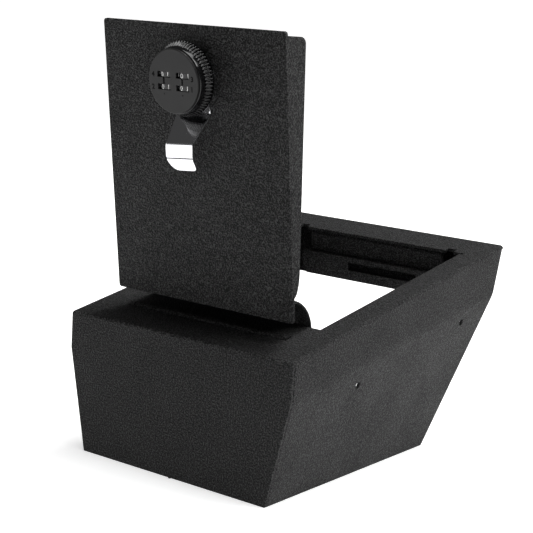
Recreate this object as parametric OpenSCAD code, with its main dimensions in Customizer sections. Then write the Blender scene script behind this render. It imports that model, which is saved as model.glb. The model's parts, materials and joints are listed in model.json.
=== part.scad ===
// Console lock box: a bottomless steel tray with a sloping rim, a hinged lid on a
// goose-neck leaf, and a combination knob that turns a cam into a strike plate.
// Origin: middle of the front wall's bottom edge. X right, Y to the rear, Z up.

/* [Box] */
// Width across the rim
box_w = 160; // [150:1:180]
// Length of the rim along its slope
rim_len = 214.7; // [208:0.1:225]
// Height of the front wall
front_h = 81.3; // [78:0.1:90]
// Slope of the rim, rising to the rear
rim_slope = 11.1; // [10:0.1:12]
// Thickness of the box and lid sheet
sheet = 2; // [1.8:0.1:2.2]
// Outer radius of the rim's bends into the walls
bend_r = 2; // [1:0.1:2]
// Height of the side fold at the front wall
fold_h = 59.6; // [56:0.1:62]
// Slope of the side fold, rising to the rear
fold_slope = 9.34; // [9:0.01:10]
// Inward lean of the side walls below the fold
side_lean = 12.36; // [8:0.01:14]
// Rear end of the side fold
fold_end_y = 203; // [200:0.5:205]
// Rear end of the side walls' bottom edge
bottom_end_y = 162.5; // [155:0.5:170]

/* [Opening] */
// Half width of the opening
open_hw = 64.4; // [64:0.1:66]
// Front edge of the opening, along the rim
open_front = 45.2; // [45:0.1:45.6]
// Rear edge of the opening, along the rim
open_rear = 190.4; // [190.2:0.1:191.5]

/* [Lid] */
// Width of the lid
lid_w = 126.5; // [124:0.1:127]
// Length of the lid
lid_len = 154.4; // [153.8:0.1:154.6]
// How far the lid stands open from closed
open_angle = 86.83; // [80:0.01:87]
// Depth of the side flanges at the knob end
flange_deep = 17; // [14:0.5:18]
// Depth of the side flanges at the hinge end
flange_shallow = 7.4; // [6:0.1:9]

/* [Hinge] */
// Hinge axis, along the rim
hinge_y = 25.7; // [25.6:0.1:25.8]
// Hinge axis, above the rim's top face
hinge_z = -0.9; // [-1:0.05:-0.8]
// Inner radius of the goose-neck
neck_r = 20; // [19.9:0.1:20.4]
// Thickness of the hinge leaves
leaf_t = 1.5; // [1.2:0.1:1.6]

/* [Lock] */
// Place of the lock along the lid
lock_v = 126.6; // [120:0.1:130]
// Height of the knob's face above the lid
face_top = 15.5; // [15.5:0.1:18]
// Radius of the knob's face
face_r = 17.1; // [16.5:0.1:17.4]
// Radius over the knob's flutes
grip_r = 20.4; // [19.5:0.1:21]
// Number of flutes around the knob
flutes = 64; // [48:1:72]
// Radius of a number wheel
wheel_r = 6; // [5.5:0.1:6.1]
// Length of the cam from the lock axis
cam_len = 34; // [30:1:36]

/* [Hidden] */
$fn = 64;
eps = 0.01;

half_w = box_w / 2;
bottom_hw = half_w - fold_h * tan(side_lean);

// Closed lid: its front edge along the rim and its top face above the rim
lid_front = 36.7;
lid_top = 2.26;

// Hinge knuckles
knuckle_r = 2.2;
pin_r = 1.15;
pin_bore_r = 1.2;
knuckle_gap = 0.35;
web_room = 0.9;
hinge_half = 57;
moving_knuckles = [-45, 0, 45];
moving_w = 16;
web_angle = -35;
neck_out = neck_r + leaf_t;

// Mounting screw holes: place along the fold, distance below it
screw_holes = [[64, 12.5], [171, 8.5]];
screw_r = 2;

// Strike at the rear of the opening, in rim coordinates
strike_y = 188.4;
strike_top = -15.6;
strike_bottom = -31.5;
strike_hw = 56.5;
slot_x = [-20, 32];
slot_z = [-24.4, -19.2];
angle_hw = 50.5;
angle_bottom = -28;
angle_leg = 14;

// Lock stack, as heights above the lid's outer face
tab_t = 1;
base_r = 15;
flange_top = 1.8;
knob_base = 2;
base_t = 0.9;
face_t = 1.5;
housing_r = 9.4;
housing_end = -20.5;
spindle_r = 6;
washer_t = 1;
nut_t = 5;
cam_top = -22.7;
cam_t = 2.5;
cam_hw = 8;
square = 8;
cavity_r = 15.2;
axle_r = 0.8;
axle_x = 6.45;
wheel_y = 3.3;
wheel_w = 2.8;
wheel_top_gap = 0.35;
axle_z = face_top - wheel_top_gap - wheel_r;
window = [8.8, 3];

// ---- places -------------------------------------------------------------

// A point of the side view from rim coordinates: along the rim, above the rim
function rim_point(along, above) =
    [along * cos(rim_slope) - above * sin(rim_slope),
     front_h + along * sin(rim_slope) + above * cos(rim_slope)];

// The side fold's height at a given Y
function fold_at(y) = fold_h + y * tan(fold_slope);

// Rim coordinates: Y along the rim, Z square to it
module on_rim() {
    translate([0, 0, front_h]) rotate([rim_slope, 0, 0]) children();
}

// Hinge coordinates: origin on the hinge axis
module on_hinge() {
    on_rim() translate([0, hinge_y, hinge_z]) children();
}

// Lid coordinates of the open lid: Y along the lid, Z out of its outer face
module on_lid() {
    on_hinge() rotate([open_angle, 0, 0])
        translate([0, lid_front - hinge_y, lid_top - hinge_z]) children();
}

// Lock coordinates: the lock axis is Z
module on_lock() {
    on_lid() translate([0, lock_v, 0]) children();
}

// A side-view outline, given as [Y, Z], made a solid of width w along X
module across(w) {
    rotate([90, 0, 90]) linear_extrude(w, center = true) children();
}

module ring(r, bore, z0, z1) {
    translate([0, 0, z0]) difference() {
        cylinder(h = z1 - z0, r = r);
        translate([0, 0, -1]) cylinder(h = z1 - z0 + 2, r = bore);
    }
}

module rounded_rect(w, h, r) {
    hull() for (x = [-1, 1], y = [-1, 1])
        translate([x * (w / 2 - r), y * (h / 2 - r)]) circle(r, $fn = 32);
}

// ---- box ----------------------------------------------------------------

module front_wall() {
    color("#252527")
    intersection() {
        rotate([90, 0, 0]) translate([0, 0, -sheet]) linear_extrude(sheet)
            polygon([[-bottom_hw, 0], [bottom_hw, 0], [half_w, fold_h],
                     [half_w, front_h], [-half_w, front_h], [-half_w, fold_h]]);
        across(box_w + 2) polygon([[-1, -1], [sheet + 1, -1],
            rim_point(sheet + 1, -sheet), rim_point(-1, -sheet)]);
    }
}

// Bent sheet of the right wall, square to the fold: x outwards, y up from the fold
module bent_profile() {
    run = 110;
    lean = [sin(side_lean), cos(side_lean)];
    corner = sheet * tan(side_lean / 2);
    polygon([[half_w, 60], [half_w, 0],
             [half_w - run * lean[0], -run * lean[1]],
             [half_w - run * lean[0] - sheet * lean[1],
              -run * lean[1] + sheet * lean[0]],
             [half_w - sheet, corner], [half_w - sheet, 60]]);
}

// Cross-section of the space between the side walls, on the same lines as bent_profile
module inside_profile() {
    run = 110;
    gap = 0.05;
    top_x = half_w - sheet - gap;
    low_x = half_w - run * sin(side_lean) - sheet * cos(side_lean) - gap;
    corner = sheet * tan(side_lean / 2);
    low_y = -run * cos(side_lean) + sheet * sin(side_lean);
    polygon([[-top_x, 60], [-top_x, corner], [-low_x, low_y],
             [low_x, low_y], [top_x, corner], [top_x, 60]]);
}

// Runs a cross-section along the side fold, from in front of the box to behind it
module along_fold() {
    lead = 40;
    translate([0, -lead, fold_h - lead * tan(fold_slope)]) rotate([fold_slope, 0, 0])
        rotate([90, 0, 0]) translate([0, 0, -8 * lead]) linear_extrude(8 * lead) children();
}

module side_wall() {
    difference() {
        intersection() {
            along_fold() bent_profile();
            across(4 * box_w) polygon([[sheet, 0],
                rim_point(sheet + 0.4, -sheet),
                rim_point(rim_len - 1.2, -sheet),
                [fold_end_y, fold_at(fold_end_y)], [bottom_end_y, 0]]);
        }
        translate([half_w, 0, fold_h]) rotate([fold_slope, 0, 0])
            rotate([0, side_lean, 0]) for (h = screw_holes)
                translate([0, h[0], -h[1]]) rotate([0, 90, 0])
                    cylinder(h = 10, r = screw_r, center = true);
    }
}

module right_wall() {
    color("#38383b") side_wall();
}

module left_wall() {
    color("#38383b") mirror([1, 0, 0]) side_wall();
}

module rim_frame() {
    relief = 4;
    notch_w = 6;
    notch_in = 8.5;
    slot_front = hinge_y - knuckle_r - knuckle_gap;
    slot_rear = hinge_y + knuckle_r + knuckle_gap + web_room;
    color("#3a3a3d") difference() {
        intersection() {
            on_rim() translate([0, 0, -sheet]) linear_extrude(sheet) difference() {
                translate([-half_w, -1]) square([box_w, rim_len + 1]);
                translate([-open_hw, open_front])
                    square([2 * open_hw, open_rear - open_front]);
                translate([-hinge_half - knuckle_gap, slot_front])
                    square([2 * (hinge_half + knuckle_gap), slot_rear - slot_front]);
                for (s = [-1, 1]) {
                    translate([s * (open_hw - notch_in), open_rear])
                        square([notch_w, 2 * relief], center = true);
                    translate([s * open_hw, open_rear - 1])
                        square([relief, 2], center = true);
                }
            }
            across(box_w + 2) square([2 * rim_len, 2 * rim_len]);
        }
        rim_bends();
    }
}

// Corners cut off the rim where it bends down into the front and side walls
module rim_bends() {
    centre = [bend_r, front_h + bend_r * tan(rim_slope) - bend_r / cos(rim_slope)];
    square_to_rim = [-sin(rim_slope), cos(rim_slope)];
    across(box_w + 2) difference() {
        polygon([centre, centre + 2 * bend_r * square_to_rim, [-2, centre[1] + 2 * bend_r],
                 [-2, centre[1]]]);
        translate(centre) circle(bend_r);
    }
    on_rim() rotate([90, 0, 0]) translate([0, 0, -rim_len - 1]) linear_extrude(rim_len + 5)
        for (s = [-1, 1]) translate([s * (half_w - bend_r), -bend_r]) difference() {
            translate([s > 0 ? 0 : -bend_r - 1, 0]) square([bend_r + 1, bend_r + 1]);
            circle(bend_r);
        }
}

// Sloping rear wall between the side walls, with a short bottom lip
module rear_wall() {
    top = rim_len - 1.2;
    wide = sheet + 0.2;
    fold = [fold_end_y, fold_at(fold_end_y)];
    lip = 8;
    down = [bottom_end_y - fold_end_y, -fold[1]];
    lip_end = fold + down * lip / norm(down);
    color("#2b2b2d") intersection() {
        along_fold() inside_profile();
        across(box_w) polygon([rim_point(top, -sheet), fold, lip_end, lip_end - [wide, 0],
                               fold - [wide + 0.2, 0], rim_point(top - wide, -sheet)]);
    }
}

// Slot through which the cam swings
module cam_slot() {
    translate([slot_x[0], strike_y - 5, slot_z[0]])
        cube([slot_x[1] - slot_x[0], 20, slot_z[1] - slot_z[0]]);
}

module strike_plate() {
    h = strike_top - strike_bottom;
    color("#28282a") on_rim() difference() {
        translate([0, strike_y + sheet, strike_bottom + h / 2]) rotate([90, 0, 0])
            linear_extrude(sheet) rounded_rect(2 * strike_hw, h, 3);
        cam_slot();
    }
}

// Angle under the rear rim that carries the strike plate
module rear_angle() {
    bend = 2.5;
    y0 = strike_y + sheet;
    z1 = -sheet;
    color("#2e2e31") on_rim() difference() {
        across(2 * angle_hw) difference() {
            union() {
                translate([y0, angle_bottom])
                    square([sheet, z1 - bend - angle_bottom]);
                translate([y0 + bend, z1 - sheet]) square([angle_leg - bend, sheet]);
                translate([y0 + bend, z1 - bend]) circle(bend);
            }
            translate([y0 + bend, z1 - bend]) circle(bend - sheet);
            translate([y0 + sheet, angle_bottom - 1])
                square([angle_leg, z1 - sheet - angle_bottom + 1]);
        }
        cam_slot();
    }
}

// ---- hinge --------------------------------------------------------------

// Stretches of the hinge that the fixed knuckles take up
fixed_knuckles = [
    [-hinge_half, moving_knuckles[0] - moving_w / 2 - knuckle_gap],
    for (i = [0:1]) [moving_knuckles[i] + moving_w / 2 + knuckle_gap,
                     moving_knuckles[i + 1] - moving_w / 2 - knuckle_gap],
    [moving_knuckles[2] + moving_w / 2 + knuckle_gap, hinge_half]];

module along_x(x0, x1) {
    translate([(x0 + x1) / 2, 0, 0]) across(x1 - x0) children();
}

module hinge_fixed_leaf() {
    leaf_front = -20;
    leaf_top = -sheet - hinge_z;
    color("#2b2b2d") on_hinge() difference() {
        union() {
            along_x(-hinge_half, hinge_half)
                translate([leaf_front, leaf_top - leaf_t])
                    square([-leaf_front - knuckle_r - 1, leaf_t]);
            for (k = fixed_knuckles) {
                along_x(k[0], k[1]) translate([leaf_front, leaf_top - leaf_t])
                    square([-leaf_front, leaf_t]);
                along_x(k[0], k[1]) circle(knuckle_r);
            }
        }
        rotate([0, 90, 0]) cylinder(h = 200, r = pin_bore_r, center = true);
    }
}

module hinge_pin() {
    color("#2b2b2d") on_hinge() rotate([0, 90, 0])
        cylinder(h = 2 * hinge_half, r = pin_r, center = true);
}

// Curved leaf that carries the lid around the rim's edge
module goose_neck_leaf() {
    mount_start = 8.9;
    mount_end = 32;
    swing_room = 2.8;
    color("#1f1f21") {
        on_hinge() difference() {
            union() {
                along_x(-hinge_half, hinge_half) {
                    intersection() {
                        difference() {
                            circle(neck_out, $fn = 180);
                            circle(neck_r, $fn = 180);
                        }
                        polygon([[0, 0], [0, 40], [40, 40],
                                 40 * [1, tan(web_angle)]]);
                    }
                    rotate(web_angle) translate([knuckle_r - 0.5, -leaf_t / 2])
                        square([neck_r - knuckle_r + 1, leaf_t]);
                }
                for (x = moving_knuckles)
                    along_x(x - moving_w / 2, x + moving_w / 2) circle(knuckle_r);
            }
            for (k = fixed_knuckles)
                translate([k[0] - knuckle_gap, 0, 0]) rotate([0, 90, 0])
                    cylinder(h = k[1] - k[0] + 2 * knuckle_gap, r = knuckle_r + swing_room);
            rotate([0, 90, 0]) cylinder(h = 200, r = pin_bore_r, center = true);
        }
        on_lid() translate([-hinge_half, mount_start, -sheet - leaf_t])
            cube([2 * hinge_half, mount_end - mount_start, leaf_t]);
    }
}

// ---- lid ----------------------------------------------------------------

// Outline of a side flange: x along the lid, y square to it
module flange_outline() {
    start = 13.4;
    knee = 31;
    end_v = 150.4;
    corner = 4.5;
    slope_at = function(v) -flange_shallow
        - (flange_deep - flange_shallow) * (v - knee) / (end_v - knee);
    curve = [for (a = [0:15:90]) [knee - (knee - start) * cos(a),
                                  -sheet / 2 - (flange_shallow - sheet / 2) * sin(a)]];
    round_end = [for (a = [-80:20:0]) [end_v - corner + corner * cos(a),
                                       slope_at(end_v) + corner + corner * sin(a)]];
    polygon(concat([[start, 0]], curve, round_end, [[152.4, 0]]));
}

module lid_panel() {
    edge = lid_w / 2;
    color("#262628") on_lid() difference() {
        union() {
            translate([0, lid_len / 2, -sheet]) linear_extrude(sheet)
                rounded_rect(lid_w, lid_len, 1.6);
            for (s = [-1, 1])
                translate([s * (edge - sheet / 2), 0, 0]) across(sheet)
                    intersection() {
                        flange_outline();
                        translate([0, -30]) square([200, 30 - eps]);
                    }
        }
        translate([0, lock_v, 0])
            cylinder(h = 20, r = housing_r + 0.15, center = true);
    }
}

// ---- lock ---------------------------------------------------------------

// Side view of the pull tab: x along the lid, y out of its face
module tab_profile() {
    lift = 13.8;
    droop = 3.6;
    foot = 107.3;
    knee = 92.2;
    crease = 83.9;
    tip = 78.6;
    polygon([[lock_v + base_r, 0], [foot, 0], [knee + 0.4, lift - tab_t],
             [crease, lift - tab_t], [tip, lift - droop], [tip - 0.3, lift - droop + tab_t],
             [crease, lift], [knee - 0.2, lift], [foot + 0.4, tab_t],
             [lock_v + base_r, tab_t]]);
}

module pull_tab() {
    wide = 11;
    narrow = 9.2;
    color("#d0d0d2") on_lid() difference() {
        intersection() {
            across(2 * wide) tab_profile();
            translate([0, 0, -1]) linear_extrude(30) union() {
                translate([0, lock_v]) circle(base_r);
                polygon([[-wide, lock_v], [-wide, 106.5], [-narrow, 93], [-narrow, 83],
                         [-narrow + 1.2, 80.4], [-narrow + 4.4, 77.6],
                         [narrow - 2, 77.6], [narrow, 79],
                         [narrow, 93], [wide, 106.5], [wide, lock_v]]);
            }
        }
        translate([0, lock_v, 0])
            cylinder(h = 20, r = housing_r + 0.15, center = true);
    }
}

module lock_housing() {
    color("#8c8c90") on_lock() difference() {
        union() {
            translate([0, 0, housing_end])
                cylinder(h = flange_top - housing_end, r = housing_r);
            translate([0, 0, tab_t]) cylinder(h = flange_top - tab_t, r = 14);
        }
        translate([0, 0, -40]) cylinder(h = 60, r = spindle_r + 0.05);
    }
}

module lock_washer() {
    color("#a5a5a8") on_lock()
        ring(14, housing_r + 0.1, -sheet - washer_t, -sheet);
}

module hex_nut(across_flats, bore, z0, z1) {
    translate([0, 0, z0]) difference() {
        cylinder(h = z1 - z0, r = across_flats / sqrt(3), $fn = 6);
        translate([0, 0, -1]) cylinder(h = z1 - z0 + 2, r = bore);
    }
}

module lock_nut() {
    color("#a5a5a8") on_lock()
        hex_nut(24, housing_r + 0.05, -sheet - washer_t - nut_t, -sheet - washer_t);
}

module lock_spindle() {
    stud_end = -31;
    color("#8c8c90") on_lock() union() {
        translate([0, 0, cam_top + eps])
            cylinder(h = knob_base + base_t - cam_top - eps, r = spindle_r);
        translate([-square / 2, -square / 2, cam_top - cam_t])
            cube([square, square, cam_t + 1]);
        translate([0, 0, stud_end])
            cylinder(h = cam_top - stud_end, r = 3);
    }
}

// Cam in its unlocked place, pointing along X
module cam() {
    color("#a5a5a8") on_lock() translate([0, 0, cam_top - cam_t]) difference() {
        linear_extrude(cam_t) union() {
            circle(cam_hw + 2);
            translate([0, -cam_hw]) square([cam_len - 3, 2 * cam_hw]);
            translate([cam_len - 3, 0]) intersection() {
                square([6, 2 * cam_hw], center = true);
                translate([-cam_hw + 3, 0]) circle(cam_hw + 1.5);
            }
        }
        translate([-square / 2 - 0.05, -square / 2 - 0.05, -1])
            cube([square + 0.1, square + 0.1, cam_t + 2]);
    }
}

module cam_nut() {
    nut_h = 4;
    color("#a5a5a8") on_lock()
        hex_nut(10, 3.05, cam_top - cam_t - nut_h - 0.05, cam_top - cam_t - 0.05);
}

// ---- knob ---------------------------------------------------------------

// Radius of the fluted outline at angle a
function fluted(r, depth, a) = r - depth * (1 - cos(a * flutes)) / 2;

module knob_grip() {
    ring_bottom = 5.6;
    ring_top = 7.4;
    cone_top = 11.5;
    flute = 0.7;
    face_seat = face_top - face_t;
    color("#1c1c1e") on_lock() difference() {
        union() {
            translate([0, 0, ring_bottom]) linear_extrude(ring_top - ring_bottom)
                polygon([for (i = [0:flutes * 4 - 1]) let (a = i * 90 / flutes)
                    fluted(grip_r, flute, a) * [cos(a), sin(a)]]);
            rotate_extrude($fn = 96) polygon([[0, knob_base], [face_r, knob_base],
                [grip_r - flute, ring_bottom], [grip_r - flute, ring_top],
                [18.2, cone_top], [face_r + 0.6, face_seat - 0.3],
                [face_r + 0.3, face_seat], [0, face_seat]]);
        }
        translate([0, 0, knob_base + base_t]) cylinder(h = 20, r = cavity_r);
        translate([0, 0, -1]) cylinder(h = 10, r = spindle_r + 0.02);
        for (x = [-1, 1]) translate([x * axle_x, 0, axle_z]) rotate([90, 0, 0])
            cylinder(h = 29.8, r = axle_r + 0.02, center = true);
    }
}

module knob_face() {
    index_slot = [1.3, 3.8, 1.4];
    dot_y = 6.9;
    color("#343436") on_lock() difference() {
        union() {
            translate([0, 0, face_top - face_t]) cylinder(h = face_t - 0.3, r = face_r, $fn = 96);
            translate([0, 0, face_top - 0.3]) cylinder(h = 0.3, r1 = face_r, r2 = face_r - 0.3, $fn = 96);
        }
        for (x = [-1, 1]) {
            for (y = [-1, 1]) translate([x * axle_x, y * wheel_y, face_top])
                cube([window[0], window[1], 2 * face_t + 1], center = true);
            translate([x * axle_x, 0, face_top]) cube(index_slot, center = true);
            translate([x * axle_x, -dot_y, face_top]) cylinder(h = 0.6, r = 0.4, center = true);
        }
    }
}

module wheel_axles() {
    color("#a5a5a8") on_lock() for (x = [-1, 1])
        translate([x * axle_x, 0, axle_z]) rotate([90, 0, 0])
            cylinder(h = 29.6, r = axle_r, center = true);
}

// Wheels are numbered as on the face: 1 lower right, 2 lower left, 3 upper right, 4 upper left
module number_wheel(n) {
    x = n % 2 == 1 ? axle_x : -axle_x;
    y = n > 2 ? wheel_y : -wheel_y;
    color("#161617") on_lock() translate([x, y, axle_z]) rotate([90, 0, 0]) difference() {
        cylinder(h = wheel_w, r = wheel_r, center = true);
        cylinder(h = wheel_w + 2, r = axle_r + 0.05, center = true);
    }
}

front_wall();
left_wall();
right_wall();
rim_frame();
rear_wall();
rear_angle();
strike_plate();
hinge_fixed_leaf();
hinge_pin();
lid_panel();
goose_neck_leaf();
pull_tab();
lock_housing();
lock_washer();
lock_nut();
lock_spindle();
cam();
cam_nut();
knob_grip();
knob_face();
wheel_axles();
number_wheel(1);  // number_wheel_1
number_wheel(2);  // number_wheel_2
number_wheel(3);  // number_wheel_3
number_wheel(4);  // number_wheel_4
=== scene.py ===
"""Looks for the console lock box: powder-coated sheet, a chromed pull tab and a combination knob.

Lengths are in millimetres until a mesh is made. Pieces on the lock are worked out in lock
coordinates: x to the right, y up the lid, z out of the lid's face along the lock's axis.
"""
import math

import bmesh
import bpy
import numpy as np
from mathutils import Matrix, Vector
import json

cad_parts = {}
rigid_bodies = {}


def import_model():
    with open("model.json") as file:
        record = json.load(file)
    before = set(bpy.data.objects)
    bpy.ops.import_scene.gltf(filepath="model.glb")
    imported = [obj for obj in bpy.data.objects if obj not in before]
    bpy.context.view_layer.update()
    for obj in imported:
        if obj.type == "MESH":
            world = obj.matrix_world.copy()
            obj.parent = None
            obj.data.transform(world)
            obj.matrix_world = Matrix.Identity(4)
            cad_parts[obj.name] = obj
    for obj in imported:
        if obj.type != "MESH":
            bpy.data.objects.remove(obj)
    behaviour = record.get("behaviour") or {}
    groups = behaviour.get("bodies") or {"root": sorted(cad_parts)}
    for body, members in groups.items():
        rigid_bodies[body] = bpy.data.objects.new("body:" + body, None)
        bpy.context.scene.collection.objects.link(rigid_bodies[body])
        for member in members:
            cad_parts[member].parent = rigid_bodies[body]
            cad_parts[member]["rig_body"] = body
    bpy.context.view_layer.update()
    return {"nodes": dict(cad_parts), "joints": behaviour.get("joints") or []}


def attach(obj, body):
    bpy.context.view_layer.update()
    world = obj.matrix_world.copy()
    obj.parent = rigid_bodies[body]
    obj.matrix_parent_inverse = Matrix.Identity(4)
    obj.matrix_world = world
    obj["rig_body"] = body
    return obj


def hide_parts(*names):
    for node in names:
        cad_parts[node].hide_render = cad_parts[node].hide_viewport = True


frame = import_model()

MM = 0.001
JOINTS = {joint["name"]: joint for joint in frame["joints"]}

# Sizes of the box
FRONT_HEIGHT = 81.3
RIM_SLOPE = math.radians(11.1)
HALF_WIDTH = 80.0
SHEET = 2.0

# Sizes of the knob: heights over the lid, radii about the lock's axis, and its wheels' places
FACE_TOP = 15.5
FLUTES = 64
POINTS_PER_FLUTE = 10
KNOB_BASE = 2.0
CAVITY_R = 15.2
CAVITY_FLOOR = 2.9
SPINDLE_R = 6.02
WHEEL_R = 6.0
WHEEL_DEPTH = 0.35
WINDOW_X = 6.45
WINDOW_Y = 3.3

# Thickness of the ink and of the engraved marks
INK = 0.04

# Pull tab: its plate's thickness, the radius of its round end, its turn in the lid's plane, the
# dent of its crease as depth and width, and where the round end gives way to the neck
TAB_THICK = 1.0
TAB_END_R = 14.0
TAB_TURN = math.tan(math.radians(4.4))
CREASE_DEPTH = 0.5
CREASE_WIDTH = 0.5
NECK_TOP = -9.0

# The tab's lower part is turned and shifted, fading in over a length below the foot of its neck
NECK_FOOT = -20.0
FADE_LENGTH = 14.0
LOWER_SHIFT = 0.6

# Edges that softened() rounds: sharper than a corner, or a fold between two angles that is long
CORNER = math.radians(28)
FOLD_LEAST = math.radians(8)
FOLD_MOST = math.radians(20)
FOLD_LENGTH = 20 * MM

# Radius of the studio floor and its rise at the rim, in metres
FLOOR_REACH = 120.0
FLOOR_RISE = 3.0


def lock_place():
    """Matrix from lock coordinates in millimetres to the frame in metres."""
    turn = JOINTS["knob_turn"]
    out = Vector(turn["axis"]).normalized()
    right = Vector((1, 0, 0))
    up = out.cross(right)
    place = Matrix.Translation(Vector(turn["pos_m"]))
    spin = Matrix((right, up, out)).transposed().to_4x4()
    return place @ spin @ Matrix.Scale(MM, 4)


LOCK = lock_place()


# ---- materials ------------------------------------------------------------

class Finish:
    """A material's node tree, with short calls to add and join nodes."""

    def __init__(self, name, color, roughness, metallic=0.0):
        self.material = bpy.data.materials.new(name)
        self.material.use_nodes = True
        self.material.diffuse_color = (*color, 1)
        self.tree = self.material.node_tree
        self.shader = self.tree.nodes["Principled BSDF"]
        self.shader.inputs["Base Color"].default_value = (*color, 1)
        self.shader.inputs["Roughness"].default_value = roughness
        self.shader.inputs["Metallic"].default_value = metallic
        self.coords = self.node("ShaderNodeTexCoord").outputs["Object"]

    def node(self, kind, **settings):
        made = self.tree.nodes.new(kind)
        for name, value in settings.items():
            setattr(made, name, value)
        return made

    def join(self, output, target):
        self.tree.links.new(output, target)
        return output

    def stretched(self, scale):
        """Object coordinates stretched by a scale along each axis."""
        mapping = self.node("ShaderNodeMapping")
        mapping.inputs["Scale"].default_value = scale
        self.join(self.coords, mapping.inputs["Vector"])
        return mapping.outputs["Vector"]

    def noise(self, size, detail=2.0, roughness=0.5, vector=None):
        """Noise whose features are about size millimetres across."""
        noise = self.node("ShaderNodeTexNoise")
        noise.inputs["Scale"].default_value = 1 / (size * MM)
        noise.inputs["Detail"].default_value = detail
        noise.inputs["Roughness"].default_value = roughness
        self.join(vector or self.coords, noise.inputs["Vector"])
        return noise.outputs["Fac"]

    def cells(self, size, feature="F1"):
        """Distance to the nearest of cells about size millimetres across."""
        cells = self.node("ShaderNodeTexVoronoi", feature=feature)
        cells.inputs["Scale"].default_value = 1 / (size * MM)
        self.join(self.coords, cells.inputs["Vector"])
        return cells.outputs["Distance"]

    def spread(self, value, low, high, start=0.3, end=0.7):
        """A value remapped from start..end to low..high."""
        spread = self.node("ShaderNodeMapRange")
        spread.inputs["From Min"].default_value = start
        spread.inputs["From Max"].default_value = end
        spread.inputs["To Min"].default_value = low
        spread.inputs["To Max"].default_value = high
        self.join(value, spread.inputs["Value"])
        return spread.outputs["Result"]

    def blend(self, value, dark, light):
        """Colour between dark and light as value goes from 0 to 1."""
        mix = self.node("ShaderNodeMix", data_type="RGBA")
        self.join(value, mix.inputs["Factor"])
        mix.inputs[6].default_value = (*dark, 1)
        mix.inputs[7].default_value = (*light, 1)
        return mix.outputs[2]

    def bump(self, height, strength, depth):
        """Bump of a depth in millimetres, on top of any bump already joined."""
        bump = self.node("ShaderNodeBump")
        bump.inputs["Strength"].default_value = strength
        bump.inputs["Distance"].default_value = depth * MM
        self.join(height, bump.inputs["Height"])
        socket = self.shader.inputs["Normal"]
        if socket.is_linked:
            self.join(socket.links[0].from_socket, bump.inputs["Normal"])
        self.join(bump.outputs["Normal"], socket)


def powder_coat():
    """Black wrinkle powder coat: small raised beads that catch the light, over a dark ground."""
    coat = Finish("powder_coat", (0.01, 0.01, 0.0102), 0.5)
    beads = coat.noise(0.85, 1.0, 0.6)
    pits = coat.cells(1.2, "SMOOTH_F1")
    grain = coat.noise(0.6, 1.0)
    patches = coat.noise(30, 2.0)
    # The bead crests are painted lighter than the dark ground: a painted highlight where the
    # raised beads would catch the light.
    painted_crest_highlight = coat.spread(beads, 0, 1, 0.46, 0.65)
    coat.join(coat.blend(painted_crest_highlight, (0.002, 0.002, 0.002), (0.053, 0.053, 0.0536)),
              coat.shader.inputs["Base Color"])
    coat.join(coat.spread(patches, 0.52, 0.64), coat.shader.inputs["Roughness"])
    coat.shader.inputs["Specular IOR Level"].default_value = 0.18
    coat.bump(pits, 0.6, 0.6)
    coat.bump(beads, 1.0, 1.7)
    coat.bump(grain, 0.5, 0.3)
    return coat.material


def polished_chrome():
    """Chrome plate with a faint polishing haze."""
    chrome = Finish("polished_chrome", (0.86, 0.86, 0.88), 0.06, 1.0)
    haze = chrome.noise(3.0, 2.0)
    chrome.join(chrome.spread(haze, 0.045, 0.10), chrome.shader.inputs["Roughness"])
    chrome.bump(chrome.noise(6.0, 1.0), 0.15, 0.02)
    return chrome.material


def plated_steel():
    """Zinc-plated steel with fine turning marks and soft clouding."""
    steel = Finish("plated_steel", (0.56, 0.56, 0.58), 0.32, 1.0)
    cloud = steel.noise(4.0, 3.0)
    marks = steel.noise(0.5, 1.0, vector=steel.stretched((1, 0.2, 1)))
    steel.join(steel.spread(cloud, 0.24, 0.4), steel.shader.inputs["Roughness"])
    steel.join(steel.blend(cloud, (0.46, 0.46, 0.48), (0.64, 0.64, 0.65)),
               steel.shader.inputs["Base Color"])
    steel.bump(marks, 0.25, 0.03)
    return steel.material


def black_plastic():
    """Moulded black plastic, glossy, with a faint grain."""
    plastic = Finish("black_plastic", (0.004, 0.004, 0.0043), 0.2)
    plastic.shader.inputs["Specular IOR Level"].default_value = 0.35
    grain = plastic.noise(0.25, 1.0)
    gloss = plastic.spread(plastic.noise(5, 2), 0.1, 0.16)
    plastic.join(gloss, plastic.shader.inputs["Roughness"])
    plastic.bump(grain, 0.15, 0.02)
    return plastic.material


def knob_face_finish():
    """Dark satin face with a very fine even grain."""
    satin = Finish("knob_face", (0.01, 0.01, 0.0102), 0.42)
    satin.shader.inputs["Specular IOR Level"].default_value = 0.3
    satin.join(satin.spread(satin.noise(9, 2), 0.38, 0.46), satin.shader.inputs["Roughness"])
    satin.bump(satin.noise(0.18, 1.0), 0.12, 0.012)
    return satin.material


def wheel_plastic():
    """Satin black plastic of the number wheels."""
    wheel = Finish("wheel_plastic", (0.008, 0.008, 0.009), 0.3)
    wheel.bump(wheel.noise(0.3, 1.0), 0.1, 0.01)
    return wheel.material


def white_print():
    """White ink, a little uneven."""
    ink = Finish("white_print", (0.75, 0.75, 0.74), 0.45)
    ink.join(ink.blend(ink.noise(0.5, 2), (0.68, 0.68, 0.67), (0.82, 0.82, 0.81)),
             ink.shader.inputs["Base Color"])
    return ink.material


def engraved_black():
    """Matt black left in the engraved marks."""
    # The same matt black is also put on the pull tab's crease as painted shade.
    mark = Finish("engraved_black", (0.004, 0.004, 0.004), 0.6)
    mark.shader.inputs["Specular IOR Level"].default_value = 0.02
    mark.bump(mark.noise(0.2, 1.0), 0.2, 0.01)
    return mark.material


FINISHES = {
    "powder_coat": powder_coat(),
    "polished_chrome": polished_chrome(),
    "plated_steel": plated_steel(),
    "black_plastic": black_plastic(),
    "knob_face": knob_face_finish(),
    "wheel_plastic": wheel_plastic(),
    "white_print": white_print(),
    "engraved_black": engraved_black(),
}


# ---- mesh making ----------------------------------------------------------

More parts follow.
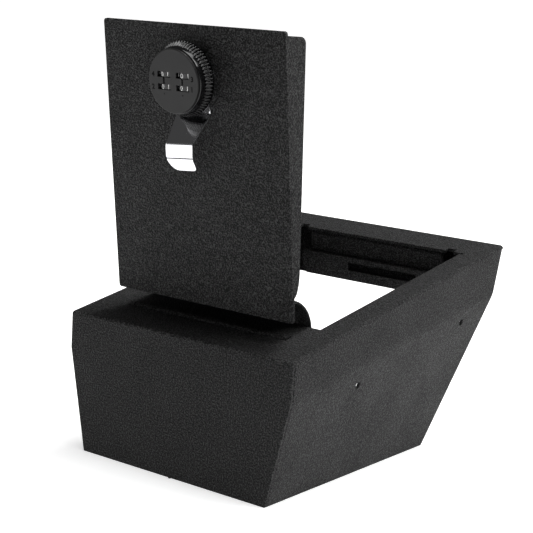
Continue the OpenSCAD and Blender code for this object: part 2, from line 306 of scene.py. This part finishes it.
def grid_faces(rows, columns, wrap_rows=False, wrap_columns=False):
    """Quads of a grid of rows x columns points, as an array of four corner numbers each."""
    number = np.arange(rows * columns).reshape(rows, columns)
    if wrap_rows:
        number = np.vstack([number, number[:1]])
    if wrap_columns:
        number = np.hstack([number, number[:, :1]])
    corners = [number[:-1, :-1], number[:-1, 1:], number[1:, 1:], number[1:, :-1]]
    return np.stack(corners, axis=-1).reshape(-1, 4)


def mesh_piece(name, points, faces, place=LOCK):
    """A mesh object from points in millimetres and quads, set in place in its own mesh."""
    mesh = bpy.data.meshes.new(name)
    mesh.from_pydata(points.reshape(-1, 3).tolist(), [], faces.tolist())
    mesh.transform(place)
    mesh.polygons.foreach_set("use_smooth", np.ones(len(mesh.polygons), bool))
    piece = bpy.data.objects.new(name, mesh)
    bpy.context.scene.collection.objects.link(piece)
    return piece


def tidy_normals(piece, sharp=None):
    """Merges doubles and turns all faces outwards, and marks edges sharper than an angle."""
    work = bmesh.new()
    work.from_mesh(piece.data)
    bmesh.ops.remove_doubles(work, verts=work.verts, dist=1e-6)
    bmesh.ops.recalc_face_normals(work, faces=work.faces)
    if sharp is not None:
        for edge in work.edges:
            edge.smooth = edge.calc_face_angle(0) < math.radians(sharp)
    work.to_mesh(piece.data)
    work.free()


def dress(piece, finish, body, replaced=()):
    """Gives a piece its finish, its body and the nodes it stands for."""
    piece.data.materials.clear()
    piece.data.materials.append(FINISHES[finish])
    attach(piece, body)
    if replaced:
        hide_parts(*replaced)
    return piece


def softened(node, width, finish, seam=None, fold=0.0, segments=2):
    """A copy of a CAD node with its flat faces joined up and its edges rounded by width.

    A shallow fold between flat faces is rounded by fold. Edges whose two ends are both on a
    seam, as seam(point) says, stay as they are, so that flush sheets meet without a groove.
    """
    body = frame["nodes"][node]["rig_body"]
    mesh = frame["nodes"][node].data.copy()
    work = bmesh.new()
    work.from_mesh(mesh)
    bmesh.ops.remove_doubles(work, verts=work.verts, dist=2e-6)
    bmesh.ops.dissolve_limit(work, angle_limit=math.radians(0.4),
                             verts=work.verts, edges=work.edges)
    if fold:
        shallow = [e for e in work.edges
                   if FOLD_LEAST < e.calc_face_angle(0) < FOLD_MOST
                   and e.calc_length() > FOLD_LENGTH]
        bmesh.ops.bevel(work, geom=shallow, offset=fold * MM, segments=4, profile=0.5,
                        affect="EDGES", clamp_overlap=False)
    edges = [e for e in work.edges if e.calc_face_angle(0) > CORNER
             and not (seam and all(seam(v.co / MM) for v in e.verts))]
    bmesh.ops.bevel(work, geom=edges, offset=width * MM, segments=segments, profile=0.5,
                    affect="EDGES", clamp_overlap=False)
    for edge in work.edges:
        edge.smooth = edge.calc_face_angle(0) < math.radians(50)
    for face in work.faces:
        face.smooth = True
    work.to_mesh(mesh)
    work.free()
    piece = bpy.data.objects.new(node + "_softened", mesh)
    bpy.context.scene.collection.objects.link(piece)
    weighted = piece.modifiers.new("even_normals", "WEIGHTED_NORMAL")
    weighted.keep_sharp = True
    return dress(piece, finish, body, replaced=[node])


# ---- sheet metal ----------------------------------------------------------

def above_rim(point):
    """Height of a point over the rim's top face, in millimetres."""
    return (point.z - FRONT_HEIGHT) * math.cos(RIM_SLOPE) - point.y * math.sin(RIM_SLOPE)


def wall_seam(point):
    """True where the walls meet the rim's underside, or the side walls meet the front wall."""
    return abs(above_rim(point) + SHEET) < 0.1 or abs(point.y - SHEET) < 0.05


def rim_seam(point):
    """True along the rim's lower outer edges, where the walls carry on from it."""
    outer = abs(point.x) > HALF_WIDTH - 0.1 or point.y < 1.0
    return outer and abs(above_rim(point) + SHEET) < 0.1


def sheet_metal():
    """Every coated sheet piece, with its edges rounded as the coat rounds them."""
    softened("front_wall", 0.35, "powder_coat", wall_seam)
    for node in ("left_wall", "right_wall"):
        softened(node, 0.3, "powder_coat", wall_seam, fold=2.5)
    softened("rim_frame", 0.3, "powder_coat", rim_seam)
    softened("rear_wall", 0.3, "powder_coat", fold=2.0)
    for node in ("rear_angle", "strike_plate", "hinge_fixed_leaf", "hinge_pin", "lid_panel",
                 "goose_neck_leaf"):
        softened(node, 0.25, "powder_coat")


def plated_parts():
    """The turned and pressed steel parts of the lock."""
    for node in ("lock_housing", "lock_washer", "lock_nut", "lock_spindle",
                 "cam", "cam_nut", "wheel_axles"):
        softened(node, 0.15, "plated_steel")


# ---- pull tab -------------------------------------------------------------

def pull_tab():
    """Chromed tab: a strip of one thickness carried along a bent side line.

    The side line, as distance up the lid and height over it, is straight stretches joined by
    circular bends, with a narrow dent in the shape of a bell curve where the lip starts. Across
    it, the left and right edges follow the distance up the lid, and the round end under the lock
    is a circle about its axis. Below the foot the strip is turned a little in the lid's plane.
    The dent's faces are given matt black, a painted shade line along the crease.
    """
    corners = np.array([(TAB_END_R, 0.5), (-19.0, 0.5), (-33.9, 13.3), (-41.3, 13.3),
                        (-48.3, 10.5)])
    lip_top = corners[3, 0]
    line = bent_line(corners, [3.0, 1.1, 0.5], 0.15)
    up = line[:, 0]
    line[:, 1] -= CREASE_DEPTH * np.exp(-((up - lip_top) / CREASE_WIDTH) ** 2)
    # Left and right widths at distances up the lid, from the lip's end to the neck
    widths = np.array([
        (-48.3, 3.0, 7.4), (-48.0, 4.6, 8.4), (-47.2, 6.3, 9.1), (-45.6, 7.9, 9.2),
        (-44.0, 8.8, 9.0), (-42.9, 9.2, 8.9), (-42.6, 9.3, 8.9), (-40.0, 9.6, 9.0),
        (-36.0, 9.7, 9.2), (-33.0, 9.4, 9.3), (-20.0, 10.6, 12.4), (-17.0, 10.6, 12.2),
        (NECK_TOP, 10.7, 10.7)])
    disc = np.sqrt(np.clip(TAB_END_R ** 2 - up ** 2, 0.01, None))
    left, right = [np.where(up > NECK_TOP, disc, np.interp(up, widths[:, 0], widths[:, side]))
                   for side in (1, 2)]
    share = np.linspace(0, 1, 33)
    bent = np.clip((NECK_FOOT - up) / FADE_LENGTH, 0, 1)[:, None]
    points = np.zeros((len(line), len(share), 3))
    points[..., 0] = -left[:, None] + (left + right)[:, None] * share
    points[..., 1] = up[:, None] + TAB_TURN * points[..., 0] * bent
    points[..., 0] += LOWER_SHIFT * bent
    points[..., 2] = line[:, 1:]
    faces = grid_faces(*points.shape[:2])
    piece = mesh_piece("pull_tab_strip", points, faces)
    thick = piece.modifiers.new("thickness", "SOLIDIFY")
    thick.thickness = TAB_THICK * MM
    thick.offset = 0
    edges = piece.modifiers.new("edges", "BEVEL")
    edges.width = 0.25 * MM
    edges.segments = 2
    edges.limit_method = "ANGLE"
    edges.angle_limit = math.radians(50)
    dress(piece, "polished_chrome", "lid", replaced=["pull_tab"])
    # The faces along the crease get the matt black too: painted shade, a dark line standing in for
    # the crease's shadow.
    piece.data.materials.append(FINISHES["engraved_black"])
    painted_crease_shade_faces = np.abs(up[faces[:, 0] // len(share)] - lip_top) < CREASE_WIDTH
    piece.data.polygons.foreach_set("material_index", painted_crease_shade_faces.astype(np.int32))
    return piece


def bent_line(corners, radii, step):
    """Points along straight stretches with a circular bend of each radius at each inner corner."""
    points = [corners[0]]
    for before, corner, after, radius in zip(corners, corners[1:], corners[2:], radii):
        back = (before - corner) / np.linalg.norm(before - corner)
        ahead = (after - corner) / np.linalg.norm(after - corner)
        half = math.acos(float(np.clip(back @ ahead, -1, 1))) / 2
        reach = radius / math.tan(half)
        middle = corner + (back + ahead) / np.linalg.norm(back + ahead) * radius / math.sin(half)
        start, end = corner + back * reach - middle, corner + ahead * reach - middle
        turn = math.pi - 2 * half
        for share in np.linspace(0, 1, 9):
            arm = np.sin((1 - share) * turn) * start + np.sin(share * turn) * end
            points.append(middle + arm / math.sin(turn))
    points.append(corners[-1])
    points = np.array(points)
    runs = np.linalg.norm(np.diff(points, axis=0), axis=1)
    place = np.concatenate([[0], np.cumsum(runs)])
    even = np.unique(np.concatenate([place, np.arange(0, place[-1], step)]))
    return np.stack([np.interp(even, place, points[:, i]) for i in (0, 1)], axis=1)


# ---- knob -----------------------------------------------------------------

def knob_grip():
    """Knob body: a side profile turned about the lock's axis, its flared part cut by flutes.

    Each flute is a rounded groove: the radius drops by a depth times a smooth tooth wave in the
    angle, and the depth fades to nothing at the top of the flare.
    """
    profile = np.array([
        (SPINDLE_R, KNOB_BASE), (16.2, KNOB_BASE), (17.0, 2.2), (17.4, 2.8), (19.4, 5.0),
        (20.0, 5.7), (20.3, 6.3), (20.4, 6.8), (20.25, 7.3), (19.9, 7.9), (19.3, 8.9),
        (18.7, 9.9), (18.25, 10.8), (18.12, 11.3), (18.08, 11.5), (18.05, 11.7),
        (17.9, 12.6), (17.75, 13.5), (17.62, 13.9), (17.5, 14.0), (17.25, 14.0),
        (17.1, 13.99), (CAVITY_R, 13.98), (CAVITY_R, CAVITY_FLOOR), (SPINDLE_R, CAVITY_FLOOR)])
    depths = np.interp(profile[:, 1], [2.8, 5.0, 6.8, 9.5, 11.2, 11.5],
                       [0, 0.9, 1.1, 0.85, 0.4, 0])
    depths[profile[:, 0] < 17.3] = 0
    angles = np.linspace(0, 2 * np.pi, FLUTES * POINTS_PER_FLUTE, endpoint=False)
    wave = np.clip(0.5 - 0.75 * np.cos(angles * FLUTES), 0, 1)
    radii = profile[:, :1] - depths[:, None] * wave
    points = np.stack([radii * np.cos(angles), radii * np.sin(angles),
                       np.broadcast_to(profile[:, 1:], radii.shape)], axis=-1)
    piece = mesh_piece("knob_grip_fluted", points,
                       grid_faces(*radii.shape, wrap_rows=True, wrap_columns=True))
    tidy_normals(piece, 55)
    return dress(piece, "black_plastic", "knob", replaced=["knob_grip"])


def knob_face():
    """The face plate, with its window and rim edges rounded."""
    softened("knob_face", 0.1, "knob_face")


def number_mesh(name, text, size, place, weight, wide=1.0):
    """A flat numeral made a mesh, centred and set in place.

    Its strokes are fattened by weight on each side and its width is scaled by wide.
    """
    curve = bpy.data.curves.new(name, "FONT")
    curve.body = text
    curve.size = size
    curve.align_x = "CENTER"
    curve.align_y = "CENTER"
    curve.extrude = INK / 2
    curve.offset = weight
    curve.resolution_u = 4
    maker = bpy.data.objects.new(name + "_maker", curve)
    bpy.context.scene.collection.objects.link(maker)
    bpy.context.view_layer.update()
    mesh = bpy.data.meshes.new_from_object(maker)
    bpy.data.objects.remove(maker)
    bpy.data.curves.remove(curve)
    flat = np.zeros(len(mesh.vertices) * 3, np.float32)
    mesh.vertices.foreach_get("co", flat)
    flat = flat.reshape(-1, 3)
    flat[:, :2] -= (flat[:, :2].max(0) + flat[:, :2].min(0)) / 2
    flat[:, 0] *= wide
    points = place(flat)
    mesh.vertices.foreach_set("co", points.astype(np.float32).ravel())
    mesh.transform(LOCK)
    mesh.update()
    return mesh


def joined(name, meshes):
    """One object from several meshes."""
    work = bmesh.new()
    for mesh in meshes:
        work.from_mesh(mesh)
        bpy.data.meshes.remove(mesh)
    bmesh.ops.remove_doubles(work, verts=work.verts, dist=1e-7)
    whole = bpy.data.meshes.new(name)
    work.to_mesh(whole)
    work.free()
    piece = bpy.data.objects.new(name, whole)
    bpy.context.scene.collection.objects.link(piece)
    return piece


def wheel_digits(number, start):
    """Ten digits around a number wheel, wrapped on its rim: x along the text becomes an angle."""
    side = WINDOW_X if number % 2 == 1 else -WINDOW_X
    high = WINDOW_Y if number > 2 else -WINDOW_Y
    axle = FACE_TOP - WHEEL_DEPTH - WHEEL_R

    def around(angle):
        def place(flat):
            turn = angle + flat[:, 0] / WHEEL_R
            radius = WHEEL_R + flat[:, 2]
            return np.stack([side + radius * np.sin(turn), high + flat[:, 1],
                             axle + radius * np.cos(turn)], axis=1)
        return place

    meshes = [number_mesh(f"digit_{d}", str(d), 3.5, around(start + d * math.tau / 10),
                          weight=-0.02, wide=1.25) for d in range(10)]
    piece = joined(f"number_wheel_{number}_digits", meshes)
    return dress(piece, "white_print", f"wheel_{number}")


def wheels():
    """The four number wheels and their digits, each stopped at an angle near 0."""
    starts = {4: -0.25, 3: -0.10, 2: -0.22, 1: -0.20}
    for number, start in starts.items():
        softened(f"number_wheel_{number}", 0.12, "wheel_plastic")
        wheel_digits(number, start)


def face_marks():
    """The wheel numbers engraved beside their windows."""
    places = {"4": (-13.9, 3.1), "3": (13.2, 2.1), "2": (-14.1, -3.6), "1": (12.9, -3.3)}

    def at(x, y):
        return lambda flat: np.stack([x + flat[:, 0], y + flat[:, 1],
                                      FACE_TOP + flat[:, 2]], axis=1)

    meshes = [number_mesh("mark_" + text, text, 3.8, at(x, y), weight=0.12)
              for text, (x, y) in places.items()]
    piece = joined("knob_face_numbers", meshes)
    return dress(piece, "engraved_black", "knob")


# ---- studio ---------------------------------------------------------------

def studio_floor():
    """Pale floor: a wide disc that rises as the square of its radius, to hide the horizon.

    The paper glows a little, so that it stays even far away and the sun can stay weak.
    """
    angles = np.linspace(0, 2 * np.pi, 48, endpoint=False)
    radii = np.concatenate([[0.001], np.geomspace(0.2, FLOOR_REACH, 24)])[:, None]
    rise = FLOOR_RISE * (radii / FLOOR_REACH) ** 2
    points = np.stack([radii * np.cos(angles), radii * np.sin(angles),
                       np.broadcast_to(rise, (len(radii), len(angles)))], axis=-1) / MM
    floor = mesh_piece("studio_floor", points, grid_faces(*points.shape[:2], wrap_columns=True),
                       Matrix.Scale(MM, 4))
    pale = Finish("studio_paper", (0.86, 0.86, 0.86), 0.8)
    pale.join(pale.blend(pale.noise(900, 1), (0.85, 0.85, 0.85), (0.87, 0.87, 0.87)),
              pale.shader.inputs["Base Color"])
    pale.shader.inputs["Emission Color"].default_value = (1, 1, 1, 1)
    pale.shader.inputs["Emission Strength"].default_value = 0.55
    floor.data.materials.append(pale.material)


def area_light(name, spot, target, size, watts):
    """A soft square light at spot, facing target, in metres."""
    data = bpy.data.lights.new(name, "AREA")
    data.shape = "RECTANGLE"
    data.size, data.size_y = size
    data.energy = watts
    light = bpy.data.objects.new(name, data)
    light.location = spot
    aim = Vector(target) - Vector(spot)
    light.rotation_euler = aim.to_track_quat("-Z", "Y").to_euler()
    bpy.context.scene.collection.objects.link(light)


def studio_lights():
    """Even light from above, soft boxes behind and to the upper right, and a weak one left."""
    middle = (0, 0.09, 0.15)
    area_light("back_top_soft", (0.15, 1.35, 1.65), middle, (0.55, 0.45), 22)
    area_light("right_soft", (1.45, 0.35, 2.25), middle, (1.0, 1.0), 30)
    area_light("left_soft", (-1.9, -1.0, 0.75), middle, (0.9, 0.9), 2)
    sun = bpy.data.lights.new("even_top", "SUN")
    sun.energy = 1.8
    sun.angle = math.radians(40)
    even = bpy.data.objects.new("even_top", sun)
    even.rotation_euler = (math.radians(-6), math.radians(4), 0)
    bpy.context.scene.collection.objects.link(even)
    world = bpy.data.worlds.new("studio")
    world.use_nodes = True
    sky = world.node_tree.nodes["Background"]
    sky.inputs["Color"].default_value = (1, 1, 1, 1)
    sky.inputs["Strength"].default_value = 0.05
    bpy.context.scene.world = world
    bpy.context.scene.view_settings.view_transform = "Standard"


def studio_camera():
    """Camera a little above the box, to the front right of it."""
    data = bpy.data.cameras.new("camera")
    data.lens = 102.29
    data.sensor_width = 36
    data.clip_start = 0.05
    data.clip_end = 400
    camera = bpy.data.objects.new("camera", data)
    right = Vector((0.78417, 0.61794, 0.05692))
    ahead = Vector((-0.60108, 0.77916, -0.1778))
    spin = Matrix((right, right.cross(ahead), -ahead)).transposed().to_4x4()
    camera.matrix_world = Matrix.Translation((0.5289, -0.6087, 0.2676)) @ spin
    bpy.context.scene.collection.objects.link(camera)
    bpy.context.scene.camera = camera


studio_camera()
studio_floor()
studio_lights()
sheet_metal()
plated_parts()
pull_tab()
knob_grip()
knob_face()
wheels()
face_marks()
